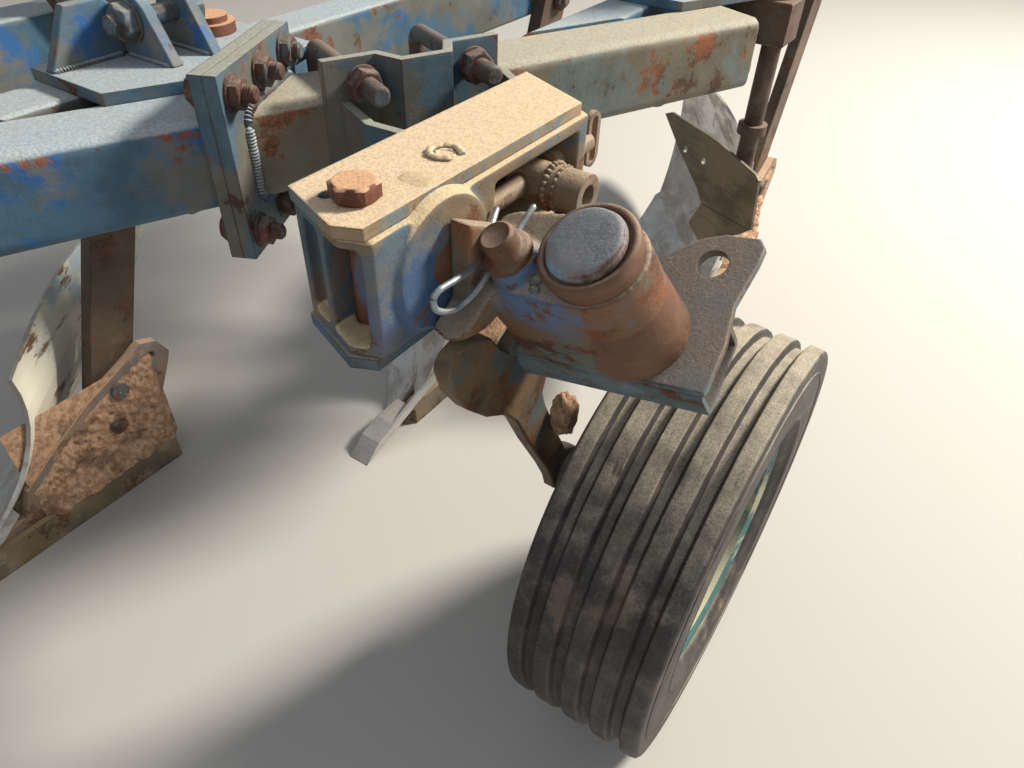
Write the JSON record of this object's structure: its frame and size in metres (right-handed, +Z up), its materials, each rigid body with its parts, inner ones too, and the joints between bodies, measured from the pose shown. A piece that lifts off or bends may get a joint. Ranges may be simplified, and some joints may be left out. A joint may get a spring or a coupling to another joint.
{
  "type": "mounted reversible moldboard plough",
  "caption": "Mounted reversible plough: diagonal box beam, paired moldboard bodies above and below, headstock and a swing-over ribbed depth wheel.",
  "frame": {"origin": "on the floor, under the middle of the bounding box", "axes": "+Z up, -Y forward in the direction of travel, +X to the plough's left"},
  "size_m": [1.5576, 3.5342, 1.614],
  "materials": {
    "faded_blue_paint": "matte, faded, worn through to rust",
    "dusty_steel": "matte, covered with pale dust",
    "rusty_steel": "rough brown rust",
    "scoured_steel": "scoured bright by soil",
    "zinc_plated_pin": "dull zinc",
    "green_rim_paint": "matte, dusty",
    "tyre_rubber": "matte, dusty"
  },
  "bodies": {
    "frame": {"beam_front": "faded_blue_paint", "beam_rear": "faded_blue_paint", "flange_front": "faded_blue_paint", "flange_rear": "faded_blue_paint", "flange_bolts": "rusty_steel", "carriers": "faded_blue_paint", "pivot_plates": "faded_blue_paint", "pivot_pins": "rusty_steel", "link_lugs": "faded_blue_paint", "link_bolts": "rusty_steel", "front_cross": "faded_blue_paint", "turn_shaft": "rusty_steel", "legs": "rusty_steel", "leg_bolts": "rusty_steel", "frogs": "rusty_steel", "frog_wings": "rusty_steel", "frog_bolts": "rusty_steel", "landsides": "rusty_steel", "shares": "scoured_steel", "points": "scoured_steel", "boards": "scoured_steel", "stays": "rusty_steel", "skim_clamp": "rusty_steel", "skim_stem": "rusty_steel", "skim_boards": "scoured_steel", "clamp_hat": "faded_blue_paint", "ubolts": "rusty_steel", "ubolt_nuts": "rusty_steel", "wheel_band": "faded_blue_paint", "carrier_top_plate": "dusty_steel", "carrier_bottom_plate": "faded_blue_paint", "carrier_casting": "dusty_steel", "carrier_bolt": "rusty_steel", "spindle": "rusty_steel", "stop_nut": "rusty_steel", "trunnion": "rusty_steel", "stand_sleeve": "faded_blue_paint", "stand_screw": "rusty_steel"},
    "headstock": {"bearing_tube": "faded_blue_paint", "head_plates": "faded_blue_paint", "cross_bar": "faded_blue_paint", "link_pins": "zinc_plated_pin", "top_ears": "faded_blue_paint"},
    "stand": {"stand_leg": "rusty_steel", "stand_foot": "rusty_steel"},
    "wheel_arm": {"wheel_arm": "faded_blue_paint", "swivel_tube": "rusty_steel", "lock_pin": "rusty_steel"},
    "swivel": {"swivel_shaft": "rusty_steel", "lock_plate": "rusty_steel", "swivel_box": "rusty_steel", "wheel_leg": "rusty_steel", "stub_axle": "rusty_steel"},
    "wheel": {"wheel_hub": "rusty_steel", "wheel_disc": "green_rim_paint", "wheel_rim": "green_rim_paint", "tyre": "tyre_rubber"}
  },
  "joints": [
    {"name": "headstock_turnover", "type": "hinge", "parent": "frame", "child": "headstock", "pos_m": [-0.24375, -1.60207, 0.807], "axis": [0, 1, 0], "range_deg": [0, 180]},
    {"name": "stand_slide", "type": "slide", "parent": "frame", "child": "stand", "axis": [0, 0, 1], "range_m": [0, 0.3]},
    {"name": "wheel_arm_swing", "type": "hinge", "parent": "frame", "child": "wheel_arm", "pos_m": [0.48625, -0.20407, 0.807], "axis": [1, 0, 0], "range_deg": [-234, 0]},
    {"name": "wheel_swivel", "type": "hinge", "parent": "wheel_arm", "child": "swivel", "pos_m": [0.59025, -0.16407, 0.851], "axis": [-0.1948, -0.5, 0.8438], "range_deg": [0, 110]},
    {"name": "wheel_roll", "type": "hinge", "parent": "swivel", "child": "wheel", "pos_m": [0.68125, 0.04493, 0.314], "axis": [1, 0, 0], "continuous": true}
  ]
}
